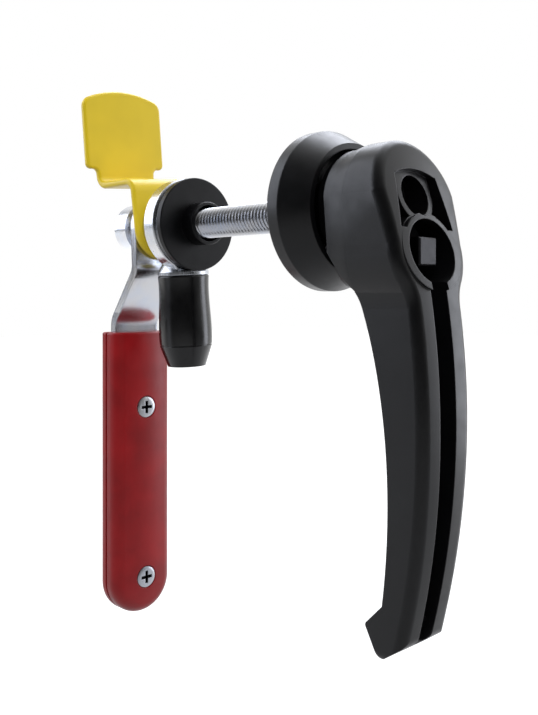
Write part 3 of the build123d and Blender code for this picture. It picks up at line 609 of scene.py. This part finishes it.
def teardrop_ring(bm, x, inset=None):
    """Ring on the head's outline, drawn smaller by inset.

    As in the solid, arcs and sides meet HEAD_LEAN above the horizontal, not at the tangents below it.
    """
    arcs = (
        (HEAD_CENTRE_Z, HEAD_RADIUS, HEAD_LEAN, math.pi - HEAD_LEAN),
        (LOCK_CENTRE_Z, LOCK_LAND_RADIUS, math.pi - HEAD_LEAN, 2 * math.pi + HEAD_LEAN),
    )
    ring = []
    for centre, radius, first, last in arcs:
        for step in range(SEGMENTS + 1):
            angle = first + (last - first) * step / SEGMENTS
            reach = radius - (hub_inset(x, math.sin(angle))[0] if inset is None else inset)
            ring.append(bm.verts.new((x, reach * math.cos(angle), centre + reach * math.sin(angle))))
    return ring


def hub_collar():
    """Closed skin of the hub, from inside the head back to a shoulder in front of the rosette."""
    bm = bmesh.new()
    rings = [teardrop_ring(bm, HUB_SHOULDER_X, HUB_SKIN), teardrop_ring(bm, HUB_SHOULDER_X)]
    for step in range(HUB_ROWS + 1):
        rings.append(teardrop_ring(bm, HUB_FLARE_X - HUB_BLEND * (1 - step / HUB_ROWS)))
    rings.append(teardrop_ring(bm, HUB_FLARE_X + HUB_STEP, HUB_STEP))
    rings.append(teardrop_ring(bm, HUB_FLARE_X + HUB_STEP, HUB_SKIN))
    skin_all(bm, rings + rings[:1])
    (top_x, top_z), (low_x, low_z) = HUB_UNDERCUT
    bmesh.ops.bisect_plane(
        bm,
        geom=list(bm.verts) + list(bm.edges) + list(bm.faces),
        dist=MERGE,
        plane_co=(top_x, 0, top_z),
        plane_no=(low_z - top_z, 0, top_x - low_x),
        clear_outer=True,
    )
    bmesh.ops.edgeloop_fill(bm, edges=[edge for edge in bm.edges if edge.is_boundary])
    for face in bm.faces:
        face.material_index = HUB_FINISH_INDEX
    return to_mesh("hub_collar", bm, HANDLE_FINISHES)


def slot_end():
    """Block that lets the slot run out through the toe."""
    bm = bmesh.new()
    sides = []
    for y in (-SLOT_HALF_WIDTH, SLOT_HALF_WIDTH):
        sides.append([bm.verts.new((x, y, z)) for x, z in SLOT_END])
    skin_all(bm, sides)
    for side in sides:
        bm.faces.new(side)
    return to_mesh("slot_end", bm)


def combine_meshes(piece, changes):
    """Joins meshes to a piece or cuts them out of it, one after the other."""
    helpers = []
    for operation, mesh in changes:
        helper = add_object(mesh.name, mesh)
        helpers.append(helper)
        change = piece.modifiers.new(mesh.name, "BOOLEAN")
        change.operation = operation
        change.object = helper
    bpy.context.view_layer.update()
    graph = bpy.context.evaluated_depsgraph_get()
    result = bpy.data.meshes.new_from_object(piece.evaluated_get(graph))
    piece.modifiers.clear()
    piece.data = result
    for helper in helpers:
        bpy.data.objects.remove(helper)


def grid_key(place):
    """A point's place to a micrometre."""
    return tuple(round(value * GRID_STEPS) for value in place)


def corners_of(mesh, polygon):
    """A face's corners, each with its index and place."""
    for corner in polygon.loop_indices:
        yield corner, mesh.vertices[mesh.loops[corner].vertex_index].co


def side_normal(place, flat):
    """Smooth normal at a corner of a face on the side of the head or hub, and None elsewhere."""
    depth, out = teardrop_depth(place.y, place.z)
    inset, slope = hub_inset(place.x, out[1])
    normal = Vector((slope, *out)).normalized()
    on_side = depth > -inset - SIDE_MARGIN and place.x > HUB_SHOULDER_X - SOLID_MERGE
    if on_side and flat.x < SIDE_FACING and flat.dot(normal) > SIDE_MATCH:
        return normal
    return None


def shade_handle(mesh, solid):
    """Normals of the teardrop round the head, of the solid, and of flat new faces."""
    known = {}
    for polygon in solid.polygons:
        for corner, place in corners_of(solid, polygon):
            known.setdefault(grid_key(place), []).append(solid.corner_normals[corner].vector.copy())
    normals = []
    for polygon in mesh.polygons:
        flat = polygon.normal
        for _, place in corners_of(mesh, polygon):
            normal = side_normal(place, flat)
            if normal is None:
                best = max(known.get(grid_key(place), []), key=flat.dot, default=flat)
                normal = best if flat.dot(best) > SOLID_MATCH else flat
            normals.append(normal)
    mesh.normals_split_custom_set(normals)


def make_handle():
    """Moulded handle: its solid with the hub's collar added and the slot's end cut."""
    solid = nodes["outer_handle"].data
    plain = solid.copy()
    plain.attributes.remove(plain.attributes["custom_normal"])
    bm = bmesh.new()
    bm.from_mesh(plain)
    bpy.data.meshes.remove(plain)
    bmesh.ops.remove_doubles(bm, verts=bm.verts, dist=SOLID_MERGE)
    handle = add_piece(
        "moulded_handle", bm, HANDLE_FINISHES, "handle", "outer_handle"
    )
    combine_meshes(handle, [("UNION", hub_collar()), ("DIFFERENCE", slot_end())])
    shade_handle(handle.data, solid)


# Threaded spindle


def thread_height(phase):
    """Height of the thread from 0 to 1 across one pitch: root flat, flank, crest, flank."""
    flank = (1 - THREAD_ROOT_SHARE - THREAD_CREST_SHARE) / 2
    if phase < THREAD_ROOT_SHARE:
        return 0.0
    if phase < THREAD_ROOT_SHARE + flank:
        return (phase - THREAD_ROOT_SHARE) / flank
    if phase < THREAD_ROOT_SHARE + flank + THREAD_CREST_SHARE:
        return 1.0
    return (1 - phase) / flank


def add_thread(bm, start_x, end_x):
    """Helical thread round the X axis. Each row is a helix, so its crests stay clean."""
    rows = math.ceil((end_x - start_x) / THREAD_PITCH + 1) * THREAD_STEPS
    grid = []
    for row in range(rows + 1):
        height = thread_height(row % THREAD_STEPS / THREAD_STEPS)
        line = []
        for column, angle in enumerate(even_angles(SEGMENTS)):
            x = start_x + THREAD_PITCH * (row / THREAD_STEPS + column / SEGMENTS - 1)
            margin = min(x - start_x, end_x - x) / THREAD_PITCH
            radius = THREAD_ROOT_RADIUS + THREAD_DEPTH * height * min(max(margin, 0), 1)
            x = min(max(x, start_x), end_x)
            line.append(bm.verts.new((x, radius * math.cos(angle), radius * math.sin(angle))))
        grid.append(line)
    for row in range(rows):
        for column in range(SEGMENTS):
            right = (column + 1) % SEGMENTS
            shift = THREAD_STEPS if right == 0 else 0
            if row + 1 + shift > rows:
                continue
            corners = (
                grid[row][column],
                grid[row + shift][right],
                grid[row + shift + 1][right],
                grid[row + 1][column],
            )
            bm.faces.new(corners)


def make_spindle():
    """Spindle bolt with its socket head, plain neck and thread."""
    low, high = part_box("spindle_bolt")
    axis = (0, 0)
    head_radius = (high.z - low.z) / 2
    head_x = low.x + HEAD_HEIGHT
    socket = hexagon(SOCKET_FLATS)
    sections = [
        (low.x + SOCKET_DEPTH, socket),
        (low.x, socket),
        (low.x, circle(head_radius - HEAD_CHAMFER)),
        (low.x + HEAD_CHAMFER, circle(head_radius)),
        (head_x, circle(head_radius)),
        (head_x, circle(SPINDLE_RADIUS)),
        (THREAD_START_X, circle(SPINDLE_RADIUS)),
        (THREAD_START_X, circle(THREAD_ROOT_RADIUS)),
    ]
    angles = even_angles(SEGMENTS)
    bm = bmesh.new()
    rings = [add_ring(bm, x, radius_at, axis, angles) for x, radius_at in sections]
    skin_all(bm, rings)
    cap(bm, rings[0], low.x + SOCKET_DEPTH, axis)
    add_thread(bm, THREAD_START_X, high.x)
    end_ring = add_ring(bm, high.x, circle(THREAD_ROOT_RADIUS), axis, angles)
    cap(bm, end_ring, high.x, axis)
    add_piece("threaded_spindle", bm, ["thread_zinc"], "handle", "spindle_bolt")


# Grip screws and nuts


def screw_centres():
    """Centres (y, z) of the two grip screws, from their node's lowest and highest corners."""
    low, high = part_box("grip_screws")
    half = (high.y - low.y) / 2
    return [(0, low.z + half), (0, high.z - half)]


def make_screws():
    """Countersunk cross-recess screws, slightly domed, with painted shade in their cross recesses."""
    low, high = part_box("grip_screws")
    head_radius = (high.y - low.y) / 2 - SCREW_SLACK
    rim_x = high.x - SCREW_RIM
    floor_x = high.x - CROSS_DEPTH
    shank = circle(SCREW_SHANK_RADIUS - SCREW_SLACK)
    sections = [
        (low.x, shank),
        (rim_x - SCREW_CONE, shank),
        (rim_x, circle(head_radius)),
        (high.x - SCREW_DOME, circle(head_radius)),
        (high.x - SCREW_DOME_SHOULDER, circle(head_radius * SCREW_SHOULDER_SHARE)),
        (high.x, circle(head_radius * SCREW_TOP_SHARE)),
        (high.x, cross(CROSS_REACH, CROSS_WIDTH)),
        (floor_x, cross(CROSS_REACH * CROSS_TAPER, CROSS_WIDTH * CROSS_TAPER)),
    ]
    edge = math.atan2(CROSS_WIDTH / 2, CROSS_REACH)
    corners = [quarter * math.pi / 2 + side * edge for quarter in range(4) for side in (-1, 1)]
    angles = sorted(even_angles(SEGMENTS) + [angle % (2 * math.pi) for angle in corners])
    bm = bmesh.new()
    for centre in screw_centres():
        rings = [add_ring(bm, x, radius_at, centre, angles) for x, radius_at in sections]
        skin_all(bm, rings[:-1])
        # Painted shade: the recess walls and floor take the near-black finish
        skin(bm, rings[-2], rings[-1], RECESS_SHADE_INDEX)
        cap(bm, rings[-1], floor_x, centre, RECESS_SHADE_INDEX)
        cap(bm, rings[0], low.x, centre)
    add_piece("cross_recess_screws", bm, ["fastener", "recess"], "handle", "grip_screws")


def make_nuts():
    """Hexagon nuts with chamfered corners."""
    low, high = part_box("grip_nuts")
    across = hexagon(NUT_FLATS)
    bore = circle(SCREW_SHANK_RADIUS)
    sections = [
        (high.x, bore),
        (low.x, bore),
        (low.x, circle(NUT_FLATS / 2)),
        (low.x + NUT_CHAMFER, across),
        (high.x, across),
    ]
    angles = even_angles(NUT_SEGMENTS)
    bm = bmesh.new()
    for centre in screw_centres():
        rings = [add_ring(bm, x, radius_at, centre, angles) for x, radius_at in sections]
        skin_all(bm, rings + rings[:1])
    add_piece("hexagon_nuts", bm, ["fastener"], "handle", "grip_nuts")


make_handle()
make_spindle()
make_screws()
make_nuts()


# Studio: floor, world, soft boxes and camera


def make_floor():
    """Pale floor with the object's shadow. It glows for the camera, and behind the object for gloss."""
    half = FLOOR_SIZE / 2
    z = cad_box[0].z - FLOOR_DROP
    mesh = bpy.data.meshes.new("floor")
    corners = [(-half, -half, z), (half, -half, z), (half, half, z), (-half, half, z)]
    mesh.from_pydata(corners, [], [(0, 1, 2, 3)])
    material, tree, shader = new_material("floor", FLOOR_COLOR, FLOOR_ROUGHNESS)
    shader.inputs["Emission Color"].default_value = WHITE
    place = tree.nodes.new("ShaderNodeNewGeometry").outputs["Position"]
    reach = tree.nodes.new("ShaderNodeVectorMath")
    reach.operation = "LENGTH"
    tree.links.new(place, reach.inputs[0])
    path = tree.nodes.new("ShaderNodeLightPath").outputs
    seen = map_range(tree, reach.outputs["Value"], SEEN_DISTANCES, SEEN_GLOW)
    seen = combine(tree, "MULTIPLY", seen, path["Is Camera Ray"])
    mirrored = map_range(tree, towards(tree, place, FRONT), MIRRORED_DISTANCES, MIRRORED_GLOW)
    gloss = combine(tree, "MAXIMUM", path["Is Glossy Ray"], path["Is Transmission Ray"])
    mirrored = combine(tree, "MULTIPLY", mirrored, gloss)
    tree.links.new(combine(tree, "MAXIMUM", seen, mirrored), shader.inputs["Emission Strength"])
    mesh.materials.append(material)
    add_object("floor", mesh)


def make_world():
    """White to the camera. Round the object, bright behind and above and dark in front."""
    world = bpy.data.worlds.new("studio")
    world.use_nodes = True
    bpy.context.scene.world = world
    tree = world.node_tree
    direction = tree.nodes.new("ShaderNodeTexCoord").outputs["Generated"]
    share = map_range(tree, towards(tree, direction, FRONT_AND_BELOW), (-1.0, 1.0), (0.0, 1.0))
    ramp = tree.nodes.new("ShaderNodeValToRGB")
    elements = ramp.color_ramp.elements
    for place, _ in ROOM_LEVELS[1:-1]:
        elements.new((place + 1) / 2)
    for element, (_, level) in zip(elements, ROOM_LEVELS):
        element.color = (level, level, level, 1.0)
    tree.links.new(share, ramp.inputs["Fac"])
    room = tree.nodes["Background"]
    tree.links.new(ramp.outputs["Color"], room.inputs["Color"])
    white = tree.nodes.new("ShaderNodeBackground")
    white.inputs["Color"].default_value = WHITE
    path = tree.nodes.new("ShaderNodeLightPath")
    blend = tree.nodes.new("ShaderNodeMixShader")
    tree.links.new(path.outputs["Is Camera Ray"], blend.inputs["Fac"])
    tree.links.new(room.outputs["Background"], blend.inputs[1])
    tree.links.new(white.outputs["Background"], blend.inputs[2])
    tree.links.new(blend.outputs["Shader"], tree.nodes["World Output"].inputs["Surface"])


def soft_box(name, azimuth, distance, height, width, tall, level, tilted=False, in_gloss=True):
    """Rectangular lamp that faces the frame's Z axis, level, or tilted towards the origin."""
    lamp = bpy.data.lights.new(name, "AREA")
    lamp.shape = "RECTANGLE"
    lamp.size = width
    lamp.size_y = tall
    lamp.energy = level * math.pi * width * tall
    if in_gloss:
        lamp.color = COOL_LIGHT
    thing = add_object(name, lamp)
    turn = math.radians(azimuth)
    thing.location = (distance * math.cos(turn), distance * math.sin(turn), height)
    direction = Vector((0, 0, 0 if tilted else height)) - thing.location
    thing.rotation_euler = direction.to_track_quat("-Z", "Y").to_euler()
    thing.visible_camera = False
    thing.visible_glossy = in_gloss


def make_camera():
    """Level camera with the photograph's view."""
    lens = bpy.data.cameras.new("camera")
    lens.sensor_width = SENSOR
    lens.lens = FOCAL_PIXELS / PHOTO_HEIGHT * SENSOR
    lens.shift_y = (HORIZON_PIXEL - PHOTO_HEIGHT / 2) / PHOTO_HEIGHT
    lens.clip_start = CAMERA_CLIP_START
    camera = add_object("camera", lens)
    camera.location = CAMERA_PLACE
    camera.rotation_euler = (math.radians(90), 0, math.radians(CAMERA_AZIMUTH))
    bpy.context.scene.camera = camera


make_floor()
make_world()
for box_name, settings in SOFT_BOXES.items():
    soft_box(box_name, **settings)
make_camera()

bpy.context.scene.view_settings.view_transform = "Standard"
